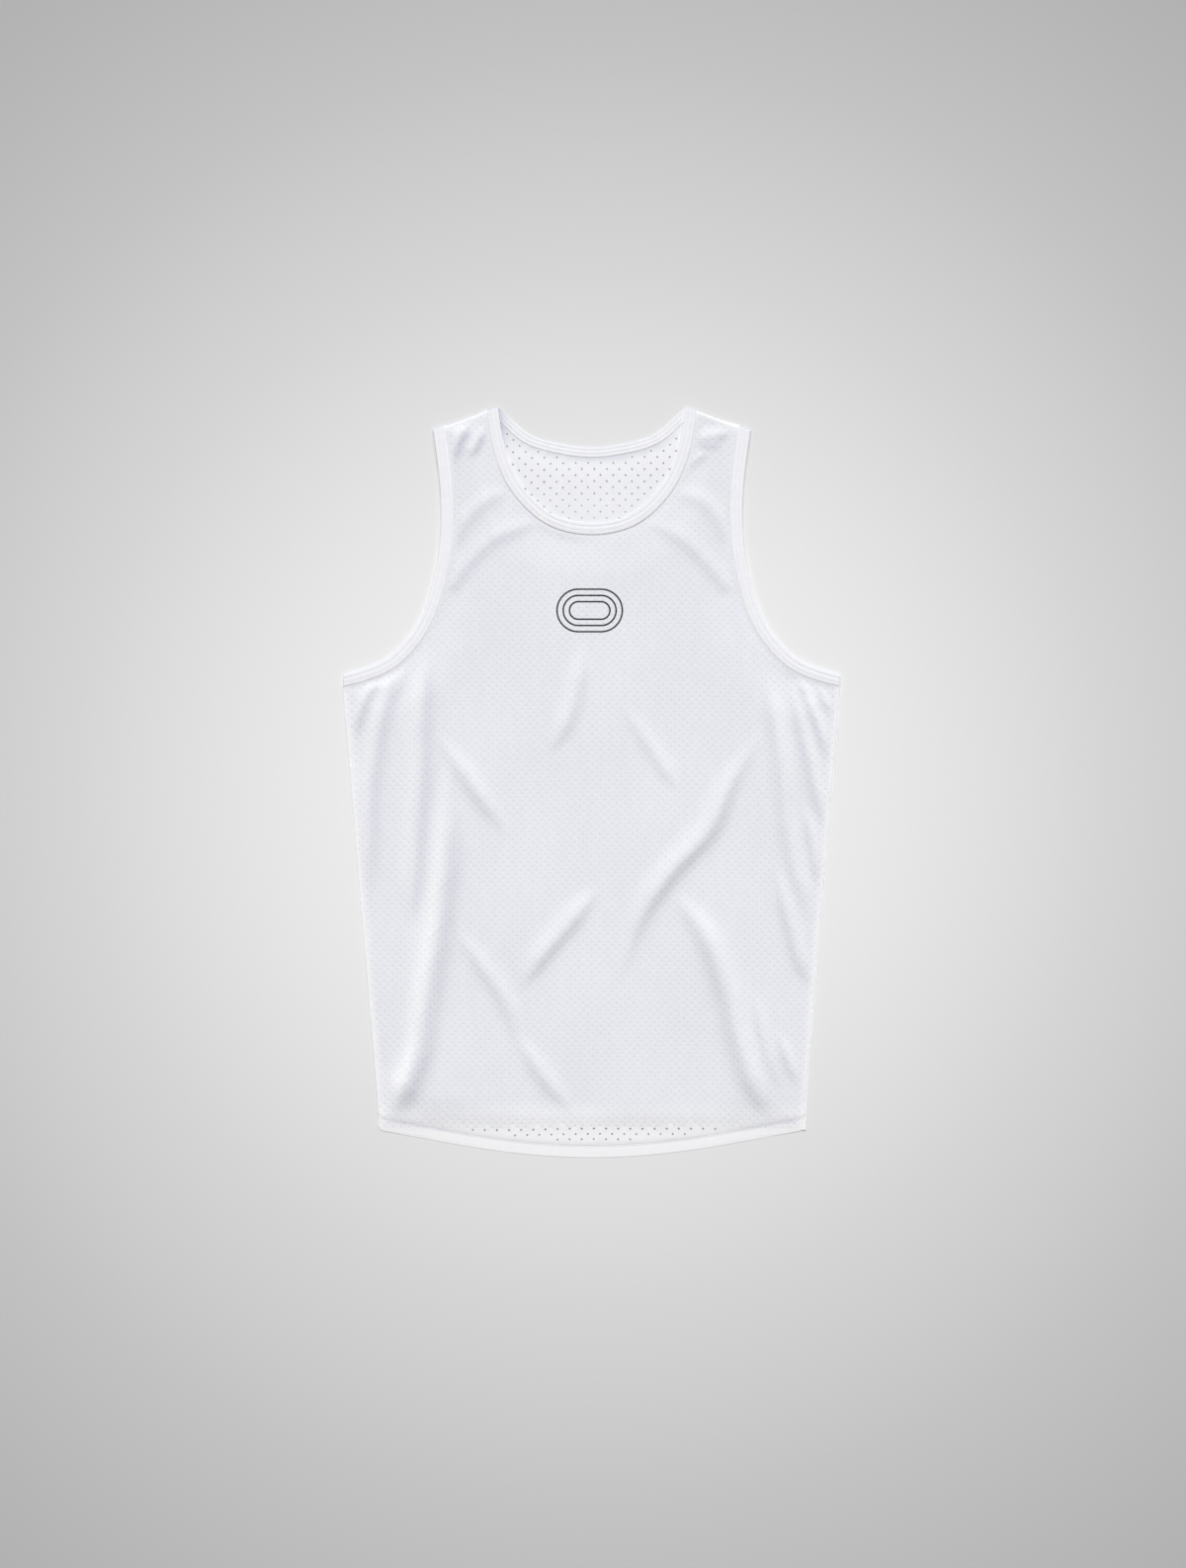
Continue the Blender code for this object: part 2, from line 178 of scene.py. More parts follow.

# Soft folds: the crest's way, then the fold's height, how far the gentle slope on its right and
# the steep slope on its left reach, how much painted shade the steep slope and painted highlight
# the gentle slope get, and over what lengths the fold rises at its start and fades at its end,
# in millimetres
FOLDS = (
    # crest
    # height, gentle, steep, shade, light, start, end
    # left side
    (((-141, 26), (-140, -50), (-147, -130), (-160, -210), (-168, -262), (-193, -324)),
     (4.2, 12, 12, 0.85, 1.0, 110, 38)),
    (((-159, 128), (-165, 70), (-166, 10), (-170, -50), (-175, -140)),
     (2.0, 11, 10, 1.0, 0.5, 50, 50)),
    (((-191, 113), (-202, 70), (-210, 30), (-215, -10), (-216, -60), (-215, -122)),
     (2.0, 9, 9, 0.9, 0.5, 25, 80)),
    (((-205, 106), (-214, 90), (-224, 68), (-231, 38)),
     (1.3, 6, 6, 1.1, 0.4, 16, 28)),
    (((-183, 116), (-187, 80)),
     (0.8, 5, 5, 0.5, 0.1, 14, 18)),
    # middle
    (((-76, -55), (-119, 4), (-151, 50)),
     (1.7, 9, 9, 0.4, 0.0, 58, 58)),
    (((-9, 136), (-15, 88), (-26, 55), (-43, 26)),
     (1.6, 9, 8, 0.4, 0.2, 40, 40)),
    (((86, -11), (50, 45), (25, 82)),
     (1.0, 8, 7, 0.3, 0.1, 30, 52)),
    (((164, 50), (134, 0), (113, -45), (76, -86), (50, -124), (34, -166), (27, -198)),
     (2.7, 12, 9, 0.7, 0.0, 90, 110)),
    (((9, -98), (-27, -142), (-50, -169), (-72, -204)),
     (2.1, 11, 8, 0.65, 0.0, 44, 46)),
    (((-71, -262), (-80, -217), (-104, -179), (-134, -136)),
     (1.3, 9, 8, 0.3, 0.1, 52, 52)),
    (((-14, -322), (-47, -282), (-75, -238)),
     (1.35, 9, 8, 0.35, 0.1, 44, 44)),
    # right side
    (((175, -327), (157, -292), (141, -245), (131, -202), (109, -146), (76, -102)),
     (2.75, 12, 11, 0.6, 0.2, 50, 70)),
    (((184, -300), (173, -270), (163, -230), (157, -196)),
     (1.0, 7, 6, 0.5, 0.1, 36, 40)),
    (((201, -297), (190, -268), (177, -236)),
     (1.0, 7, 6, 0.55, 0.3, 26, 30)),
    (((212, -140), (204, -110), (194, -70), (187, -30), (184, 10), (178, 50), (169, 106)),
     (1.4, 9, 8, 0.45, 0.3, 50, 40)),
    (((226, -46), (218, -10), (208, 30), (203, 50), (193, 100)),
     (1.5, 7, 7, 0.65, 0.5, 34, 36)),
    (((228, 20), (221, 50), (213, 70), (198, 108)),
     (1.3, 6, 6, 0.9, 0.4, 28, 22)),
    (((234, 62), (218, 95)),
     (0.8, 4, 5, 0.6, 0.3, 14, 12)),
    (((220, -104), (216, -70), (206, -20)),
     (1.3, 6, 6, 0.85, 0.2, 28, 32)),
    (((213, -202), (201, -170), (190, -130), (178, -76)),
     (1.6, 8, 7, 0.7, 0.2, 36, 46)),
    # below the neck and the shoulders
    (((-41, 255), (-61, 250), (-95, 236), (-121, 211), (-143, 182)),
     (0.75, 8, 8, 0.8, 0.0, 40, 14)),
    (((-73, 279), (-96, 276), (-120, 256), (-143, 225)),
     (0.8, 8, 8, 0.55, 0.2, 30, 14)),
    (((139, 181), (108, 217), (83, 239), (46, 255)),
     (0.7, 8, 8, 0.65, 0.0, 16, 46)),
    (((139, 227), (122, 255), (103, 274), (70, 280)),
     (0.6, 8, 8, 0.35, 0.4, 18, 36)),
    (((-119, 346), (-124, 339), (-131, 328), (-138, 302)),
     (1.1, 6, 6, 2.0, 0.2, 10, 20)),
    (((-99, 346), (-111, 329), (-119, 312)),
     (1.0, 5, 5, 1.7, 0.4, 10, 12)),
    (((136, 338), (116, 335), (94, 330)),
     (1.0, 6, 6, 1.0, 0.3, 14, 14)),
    (((116, 321), (98, 311), (88, 300)),
     (0.9, 5, 5, 0.7, 0.3, 14, 10)),
    (((128, 327), (112, 326), (97, 323)),
     (0.7, 5, 5, 0.7, 0.2, 12, 12)),
)
# The folds come up a little way in from the front's edges, the waves above the back hem
FOLD_CLEARANCE = 1.0
FOLD_FADE = 9.0
FOLD_STEP = 4.0
FOLD_NARROW = 0.55
WAVE_START = 2.0
WAVE_RISE = 30.0
# Gentle waves that run through the whole cloth: wave lengths along X and Y, height, start
WAVES = (
    # along X, along Y, height, start
    (170, 320, 0.40, 0.4),
    (96, -210, 0.18, 1.9),
    (61, 420, 0.09, 3.1),
    (-260, 148, 0.18, 5.0),
)

# Knit-in holes: pitch along a row, gap between rows, radius, in millimetres
DIMPLES = (8.0, 3.7, 0.72)
DIMPLE_DEPTH = 0.22
HEM_EYELETS = (11.7, 5.15, 0.76)
HEM_EYELETS_START = (-225.9, -370.5)
HEM_EYELETS_HALF = 136.0
# The open strip's top over the back hem, and its bottom over the front's
HEM_EYELETS_TOP = 3.8
HEM_EYELETS_BOTTOM = 15.5
DIMPLES_START = 1.0
DIMPLE_CLEARANCE = 2.6
# Plain points of the net in that strip, as rows of holes with no radius
STRIP_POINTS = (6.05, 5.35, 0)
STRIP_TOP = 2.0
BACK_EYELETS = (12.1, 5.9, 0.68)
# Above this height the neck's opening shows the back
NECK_SHOWN = 225.0
# Where the back's eyelets are drawn together: centre, reach, and by how much
TIGHT_PLACE = (0.0, 258.0)
TIGHT_REACH = (52.0, 30.0)
TIGHTER = 0.22
# Painted shade in the holes: its strength in the back's eyelets, how much fainter where they are drawn
# together, how far it fades out round an eyelet, and its strength at a dimple's bottom
BACK_EYELET_SHADE = 1.0
FAINTER = 0.55
EYELET_COLLAR = 0.28
DIMPLE_SHADE = 0.46
HOLE_CORNERS = {"dimple": 6, "eyelet": 8}
HOLE_CLEARANCE = 1.4
WARP = (
    # along Y, sideways shift, start
    (310, 1.5, 0.7),
    (127, 0.6, 2.2),
)

# Folded binding tape, the outside first and then the inside
TAPE_SECTION = (
    # share of its width from the free edge, height over the fold's axis in millimetres
    (0.000, 0.78),
    (0.010, 1.04),
    (0.028, 1.20),
    (0.060, 1.29),
    (0.110, 1.33),
    (0.245, 1.31),
    (0.285, 1.23),
    (0.315, 1.15),
    (0.345, 1.23),
    (0.390, 1.30),
    (0.500, 1.33),
    (0.610, 1.28),
    (0.660, 1.21),
    (0.690, 1.12),
    (0.720, 1.18),
    (0.765, 1.21),
    (0.860, 1.14),
    (0.930, 1.02),
    (0.970, 0.91),
    (0.993, 0.78),
    (1.000, 0.60),
    (0.985, 0.36),
    (0.930, 0.20),
    (0.720, 0.17),
    (0.690, 0.25),
    (0.660, 0.17),
    (0.345, 0.17),
    (0.315, 0.25),
    (0.285, 0.17),
    (0.090, 0.17),
    (0.030, 0.28),
    (0.008, 0.50),
)
TAPE_STEP = 2.5
TAPE_BEND_STEPS = 10
STITCH_LINES = (0.315, 0.690)
STITCH_LINE_OUTSIDE = 1.13
STITCH_LINE_INSIDE = 0.27
STITCH_PITCH = 2.8
STITCH_SIZE = (2.3, 0.46, 0.36)
HEM_STITCH_LINES = (10.4, 12.2)
HEM_STITCH_LIFT = 0.12
HEM_STITCH_ENDS = 4

# A generic print on the chest: three lanes of a running track
# Its place, the radii of its lanes' bends, and its straights, lines and film
PRINT_CENTRE = (-2.0, 166.0)
PRINT_LANES = (20.5, 14.5, 8.5)
PRINT_STRAIGHT = 22.0
PRINT_LINE = 1.6
PRINT_FILM = 0.09
PRINT_BEND_POINTS = 64
PRINT_STRAIGHT_CUTS = 14

# Knits: column and course width, in metres, and how long their streaks are drawn
CLOTH_KNIT = (0.00075, 0.00062, 3.0)
TAPE_KNIT = (0.0009, 0.0005, 6.0)
PRINT_KNIT = (0.00075, 0.00062, 2.0)
KNIT_GLOSS_RANGE = 0.08
THREAD_GLOSS_RANGE = 0.05

# Colours, linear, and the second tone of those that vary
KNIT_WHITES = ((0.838, 0.843, 0.886, 1.0), (0.820, 0.826, 0.875, 1.0))
RIB_WHITES = ((0.930, 0.932, 0.958, 1.0), (0.900, 0.903, 0.938, 1.0))
THREAD_WHITES = ((0.84, 0.84, 0.88, 1.0), (0.74, 0.74, 0.79, 1.0))
INK_BLACKS = ((0.012, 0.014, 0.018, 1.0), (0.035, 0.037, 0.043, 1.0))
# Colours of the painted shade: in the holes, and at the full strength of the painted shading
HOLE_SHADE = (0.12, 0.125, 0.15, 1.0)
PAINTED_SHADE_TINT = (0.895, 0.900, 0.925, 1.0)
PURE_WHITE = (1.0, 1.0, 1.0, 1.0)
# The floor's paper, with a painted pool of light: paler in the middle
PAPER_LIGHT_POOL = (
    # metres from the middle, painted light
    (0.22, 0.885),
    (0.36, 0.805),
    (0.50, 0.715),
    (0.70, 0.600),
    (1.00, 0.460),
)
PAPER_FLECK = 0.985

# Camera, in metres
CAMERA_PLACE = (0.0012, -0.0014, 3.573)

# Lights, in metres and degrees
OVERHEAD_PLACE = (0, 0, 1.6)
OVERHEAD_POWER = 5.6
KEY_ELEVATION = 38
KEY_SPREAD = 60
KEY_STRENGTH = 3.6
WORLD_STRENGTH = 0.06


def smooth(points, step):
    """Points about a step apart on a smooth curve through the given ones."""
    p = np.array(points, float)
    p = np.vstack([2 * p[0] - p[1], p, 2 * p[-1] - p[-2]])
    found = []
    for before, start, end, after in zip(p, p[1:], p[2:], p[3:]):
        count = max(1, round(np.linalg.norm(end - start) / step))
        for t in np.arange(count) / count:
            found.append(
                start
                + 0.5 * (end - before) * t
                + (before - 2.5 * start + 2 * end - 0.5 * after) * t**2
                + 0.5 * (3 * start - before - 3 * end + after) * t**3
            )
    found.append(p[-2])
    return np.array(found)


def soft_step(value):
    """0 below 0, 1 above 1, and a smooth rise between."""
    t = np.clip(value, 0, 1)
    return t * t * (3 - 2 * t)


def unit(way):
    return way / np.linalg.norm(way)


def right_of(curve):
    """The unit directions at right angles to a curve, on its right-hand side."""
    along = np.gradient(curve, axis=0)
    along /= np.linalg.norm(along, axis=1)[:, None]
    return np.stack([along[:, 1], -along[:, 0]], axis=1)


def cad_edge(node, wanted):
    """The closed edge round the wanted faces of a CAD node, in millimetres."""
    bm = bmesh.new()
    bm.from_mesh(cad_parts[node].data)
    bmesh.ops.remove_doubles(bm, verts=bm.verts, dist=WELD)
    bm.normal_update()
    bm.verts.index_update()
    bm.faces.index_update()
    chosen = {face.index for face in bm.faces if wanted(face)}
    following = {}
    for face in bm.faces:
        if face.index not in chosen:
            continue
        for corner in face.loops:
            if not any(f.index in chosen for f in corner.edge.link_faces if f != face):
                following[corner.vert.index] = corner.link_loop_next.vert.index
    order = [min(following)]
    while following[order[-1]] != order[0]:
        order.append(following[order[-1]])
    bm.verts.ensure_lookup_table()
    places = np.array([bm.verts[i].co.xy for i in order]) / MM
    bm.free()
    return places


def stretches(loop):
    """A closed loop cut at its sharp corners, each stretch with both its ends."""
    ahead = np.roll(loop, -1, axis=0) - loop
    behind = np.roll(ahead, 1, axis=0)
    turn = np.arctan2(
        behind[:, 0] * ahead[:, 1] - behind[:, 1] * ahead[:, 0], (behind * ahead).sum(axis=1)
    )
    corners = np.flatnonzero(np.abs(turn) > CORNER_ANGLE)
    loop = np.vstack([loop[corners[0] :], loop[: corners[0] + 1]])
    cuts = [*(corners - corners[0]), len(loop) - 1]
    return [loop[start : end + 1] for start, end in zip(cuts, cuts[1:])]


def panel_edges(node):
    """The stretches of a panel's edge by name, counter-clockwise from the neck."""
    # Known fault: the back's neck has a short jog at each end, which counts as a stretch, so
    # the back's names from shoulder_r on are one place late and its hem is really a side seam
    found = stretches(cad_edge(node, lambda face: face.normal.z > 0.5))
    names = "neck shoulder_r armhole_r side_r hem side_l armhole_l shoulder_l".split()

    def up_the_middle(edge):
        x, y = edge.mean(axis=0)
        return y - np.ptp(edge[:, 1]) - 9 * abs(x)

    neck = max(range(len(found)), key=lambda i: up_the_middle(found[i]))
    return dict(zip(names, found[neck:] + found[:neck]))


def tape_edges(node, wanted, first):
    """A tape's stretch as rows of (free x, y, sewn x, y), running towards lower values of first."""
    sides = sorted(stretches(cad_edge(node, wanted)), key=len)[-2:]
    sides.sort(key=lambda side: np.linalg.norm(np.diff(side, axis=0), axis=1).sum())
    free, sewn = [side if first(side[0]) > first(side[-1]) else side[::-1] for side in sides]
    return np.hstack([free, sewn])


def near(places, points):
    """The distance from each point to the nearest of the given places."""
    tree = KDTree(len(places))
    for number, (x, y) in enumerate(places):
        tree.insert((x, y, 0), number)
    tree.balance()
    return np.array([tree.find((x, y, 0))[2] for x, y in points])


def inside(points, loop):
    """Which points a loop goes round: a line from them to +X crosses it an odd number of times."""
    x, y = points.T
    odd = np.zeros(len(points), bool)
    for (x1, y1), (x2, y2) in zip(loop, np.roll(loop, -1, axis=0)):
        if y1 != y2:
            odd ^= ((y1 > y) != (y2 > y)) & (x < x1 + (y - y1) * (x2 - x1) / (y2 - y1))
    return odd


def round_corner(loop, corner):
    """The loop with the points near one corner replaced by a round."""
    close = np.linalg.norm(loop - corner, axis=1) < HEM_CORNER
    first = np.flatnonzero(close & ~np.roll(close, 1))[0]
    loop, close = np.roll(loop, -first, axis=0), np.roll(close, -first)
    rest = loop[~close]
    t = np.linspace(0, 1, HEM_CORNER_STEPS + 1)[1:-1, None]
    arc = (1 - t) ** 2 * rest[-1] + 2 * t * (1 - t) * corner + t**2 * rest[0]
    return np.vstack([arc, rest])


class Panel:
    """A panel's cut edge: the whole loop, and its seams, tape lines and hem apart."""

    def __init__(self, node):
        edges = {name: smooth(edge, EDGE_STEP) for name, edge in panel_edges(node).items()}
        parts = []
        for name, edge in edges.items():
            if name in TAPED_EDGES:
                edge = edge[1:-1] + right_of(edge)[1:-1] * TUCK
            elif name == "hem":
                edge = edge[1:-1]
            for end, neighbour in TUCKED_ENDS.get(name, ()):
                edge[end] += unit(edge[end] - edge[neighbour]) * TUCK
            parts.append(edge)
        self.loop = np.vstack(parts)
        for corner in edges["hem"][[0, -1]]:
            self.loop = round_corner(self.loop, corner)
        self.seams = np.vstack([smooth(edges[name], 1) for name in TUCKED_ENDS])
        self.neck = smooth(edges["neck"], 1)
        self.armholes = np.vstack([smooth(edges[name], 1) for name in TAPED_EDGES[1:]])
        self.tapes = np.vstack([self.neck, self.armholes])
        self.hem = smooth(edges["hem"], 1)

    def gaps(self, points):
        """Distances from points to the seams, to the tapes' edges and to the hem's edge."""
        return near(self.seams, points), near(self.tapes, points), near(self.hem, points)

    def rows(self, offsets):
        """Points along the whole edge at each distance in from it."""
        closed = np.vstack([self.loop[-1], self.loop, self.loop[0]])
        out = right_of(closed)[1:-1]
        found = []
        for offset in offsets:
            row = self.loop - out * offset
            found.append(row[near(self.loop, row) > 0.9 * offset])
        return np.vstack(found)

    def hem_rows(self, heights):
        """Points along the hem at each height above its edge."""
        line = self.hem[:: int(EDGE_STEP)]
        return np.vstack([line[1:-1] - right_of(line)[1:-1] * height for height in heights])

    def above_hem(self, points):
        """Height of points above the hem's edge, along Y."""
        return points[:, 1] - np.interp(points[:, 0], *self.hem.T)


def fold_shape(points, crest, sizes):
    """How far one fold lifts the cloth at each point, and its painted shade and highlight there."""
    height, gentle, steep, shade, light, start, end = sizes
    line = smooth(crest, FOLD_STEP)
    reach = 3 * max(gentle, steep)
    close = ((points > line.min(axis=0) - reach) & (points < line.max(axis=0) + reach)).all(axis=1)
    offset = points[close][:, None] - line[None]
    nearest = np.argmin((offset**2).sum(axis=2), axis=1)
    gap = offset[np.arange(len(nearest)), nearest]
    across = np.einsum("ij,ij->i", gap, right_of(line)[nearest])
    beyond = np.maximum((gap**2).sum(axis=1) - across**2, 0)
    ahead = np.einsum("ij,ij->i", gap, np.gradient(line, axis=0)[nearest])
    lengths = np.linalg.norm(np.diff(line, axis=0), axis=1)
    along = np.insert(lengths.cumsum(), 0, 0)
    place = np.clip(along[nearest] + ahead / FOLD_STEP, 0, along[-1])
    taper = soft_step(place / start) * soft_step((along[-1] - place) / end)
    reach = np.where(across > 0, gentle, steep) * (FOLD_NARROW + (1 - FOLD_NARROW) * taper)
    slope = across / reach
    hump = taper * np.exp(-(slope**2) - beyond / gentle**2)
    shaded = -(2 * e) ** 0.5 * slope * hump
    lift, dark = np.zeros((2, len(points)))
    lift[close] = height * hump
    dark[close] = np.where(shaded > 0, shade, light) * shaded
    return lift, dark


def folds(points):
    """All the folds together: their lift and their painted shade and highlight at each point."""
    return np.sum([fold_shape(points, *fold) for fold in FOLDS], axis=0)


def waves(points):
    """Gentle waves all over the cloth."""
    x, y = points.T
    return sum(
        height * np.sin(2 * pi * (x / along_x + y / along_y) + start)
        for along_x, along_y, height, start in WAVES
    )


def roll_down(heights, seam_gap, edge_height):
    """Heights that come down to a seam's height in a quarter round."""
    inward = np.clip(seam_gap / SEAM_ROLL, 0, 1)
    return edge_height + (heights - edge_height) * np.sqrt(1 - (1 - inward) ** 2)


def fold_fade(points):
    """How far the folds have come up from the front's edges: 0 at an edge, 1 well inside."""
    return soft_step((np.min(front.gaps(points), axis=0) - FOLD_CLEARANCE) / FOLD_FADE)


def front_heights(points):
    """Underside of the front's cloth at each point."""
    gaps = front.gaps(points)
    fade = fold_fade(points)
    above = back.above_hem(points)
    lift = np.interp(above, *np.transpose(FRONT_REST))
    edge = np.interp(above, *np.transpose(HEM_EDGE_REST))
    lift = edge + (lift - edge) * soft_step(gaps[2] / HEM_REACH)
    lift += PUFF * soft_step(np.min(gaps, axis=0) / PUFF_REACH)
    lift += fade * (folds(points)[0] + soft_step((above - WAVE_START) / WAVE_RISE) * waves(points))
    for line, dip in ((front.neck, NECK_DIP), (front.armholes, ARMHOLE_DIP)):
        lift -= dip * np.exp(-((near(line, points) / TAPE_DIP_REACH) ** 2))
    lift = np.maximum(lift, FRONT_REST[0][1])
    return roll_down(lift, gaps[0], SEAM_HEIGHT + np.minimum(hem_relief(gaps[2]), 0))


def hem_relief(above):
    """How far the turned-up hem's surface stands up at each height above its edge."""
    return np.interp(above, *np.transpose(HEM_RELIEF))


def front_surface(points):
    """Outside of the front's cloth at each point."""
    return front_heights(points) + CLOTH + hem_relief(near(front.hem, points))


def back_heights(points):
    """Underside of the back's cloth: on the floor at its edges and just off it elsewhere."""
    gap = np.min(back.gaps(points), axis=0)
    along_x, along_y = points.T / np.reshape(BACK_RIPPLE_LENGTHS, (2, 1))
    ripple = 1 - BACK_RIPPLE_SHARE + BACK_RIPPLE_SHARE * np.sin(along_x + along_y)
    lift = BACK_RIPPLE * soft_step(gap / BACK_RIPPLE_REACH) * ripple
    shown = (points[:, 1] > 0) & ~inside(points, front.loop)
    swell = shown * soft_step(np.minimum(gap, near(front.neck, points)) / NECK_SWELL_REACH)
    lift += BACK_RISE * np.exp(-((near(back.tapes, points) / BACK_RISE_REACH) ** 2))
    return BACK_REST + lift + NECK_SWELL * swell


def back_surface(points):
    """Inside of the back's cloth at each point."""
    relief = hem_relief(near(back.hem, points))
    return back_heights(points) + CLOTH + np.where(relief < 0, relief, BACK_HEM_SHARE * relief)


def hole_places(holes, low, high):
    """Centres of staggered rows of holes over a box, their rows waving gently sideways."""
    pitch, rows, _ = holes
    found = []
    for number, y in enumerate(np.arange(low[1], high[1], rows)):
        x = np.arange(low[0] + number % 2 * pitch / 2, high[0], pitch)
        found.append(np.column_stack([x, np.full(len(x), y)]))
    places = np.vstack(found)
    across = places[:, ::-1]
    shift = sum(h * np.sin(2 * pi * across / along + start) for along, h, start in WARP)
    return places + 0.5 * shift


def rings(places, radius, corners):
    """Corner points round each hole."""
    turn = 2 * pi * (np.arange(corners) + 0.5) / corners
    ring = np.stack([np.cos(turn), np.sin(turn)], axis=1)
    return (places[:, None] + radius * ring).reshape(-1, 2)


def clear_of(kept, candidates, gap):
    """The candidates that are a gap away from all the kept points."""
    return candidates[near(kept, candidates) > gap]


def net(loop, *groups):
    """Points and triangles over a closed loop, the loop's own points first."""
    points = np.vstack([loop, *groups])
    made = delaunay_2d_cdt(
        [Vector(point) for point in points], [], [range(len(loop))], INSIDE_ONLY, NET_EPSILON
    )
    names = [sources[0] for sources in made[3]]
    return points, [tuple(names[i] for i in face) for face in made[2]]


def opened(faces, first, corners, count):
    """The faces without those that lie wholly inside one hole's ring."""
    last = first + corners * count

    def ring(i):
        return (i - first) // corners if first <= i < last else -1 - i

    return [f for f in faces if not ring(f[0]) == ring(f[1]) == ring(f[2])]


def add_mesh(name, vertices, faces, material):
    """A finished mesh, given in millimetres, as a piece that rides on the part."""
    mesh = bpy.data.meshes.new(name)
    mesh.from_pydata((np.asarray(vertices) * MM).tolist(), [], faces)
    mesh.validate()
    mesh.shade_smooth()
    mesh.set_sharp_from_angle(angle=SHARP_ANGLE)
    mesh.materials.append(material)
    piece = bpy.data.objects.new(name, mesh)
    bpy.context.scene.collection.objects.link(piece)
    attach(piece, "root")
    return piece


def add_shell(name, loop, outer, outer_z, inner, inner_z, holes, material):
    """Two nets closed into one shell of cloth: walls round its edge and through its holes.

    holes are the first corner of the first hole in the outer and in the inner net, the
    corners of each hole, and how many holes there are.
    """
    (outer_points, outer_faces), (inner_points, inner_faces) = outer, inner
    base = len(outer_points)
    vertices = np.vstack(
        [np.column_stack([outer_points, outer_z]), np.column_stack([inner_points, inner_z])]
    )
    first_outer, first_inner, corners, count = holes
    faces = opened(outer_faces, first_outer, corners, count)
    below = opened(inner_faces, first_inner, corners, count)
    faces += [tuple(i + base for i in face[::-1]) for face in below]
    size = len(loop)
    for i in range(size):
        j = (i + 1) % size
        faces.append((base + i, base + j, j, i))
    for hole in range(count):
        for i in range(corners):
            a, b = hole * corners + i, hole * corners + (i + 1) % corners
            top, bottom = first_outer, base + first_inner
            faces.append((top + a, top + b, bottom + b, bottom + a))
    return add_mesh(name, vertices, faces, material)


def rim_shade(piece, rim):
    """The painted shade and highlight of each point of a piece that even out its steep edges."""
    start, dark, pale, least, most = rim
    normals = np.empty(3 * len(piece.data.vertices))
    piece.data.vertices.foreach_get("normal", normals)
    sideways, onwards, _ = normals.reshape(-1, 3).T
    shade = dark * np.maximum(onwards - start, 0)
    light = pale * np.maximum(np.maximum(-onwards, np.abs(sideways)) - start, 0)
    return np.clip(shade - light, least, most)


def neck_shadow(points):
    """The painted shadow of the front's tape on the back at each point."""
    gap = near(front.neck, points) - NECK_BAND
    rise = soft_step((points[:, 1] - NECK_SHADOW_START) / NECK_SHADOW_RISE)
    wanted = (points[:, 0] < 0) & (points[:, 0] > front.neck[:, 0].min() + NECK_END_GAP)
    return NECK_SHADOW * rise * wanted * np.exp(-np.maximum(gap, 0) / NECK_SHADOW_REACH)


def mark(piece, name, *parts):
    """A value at points of a piece, for the material: parts are (first point, values)."""
    marks = np.zeros(len(piece.data.vertices), np.float32)
    for first, values in parts:
        marks[first : first + len(values)] += values
    marks = np.maximum(marks, PALEST)
    piece.data.attributes.new(name, "FLOAT", "POINT").data.foreach_set("value", marks)


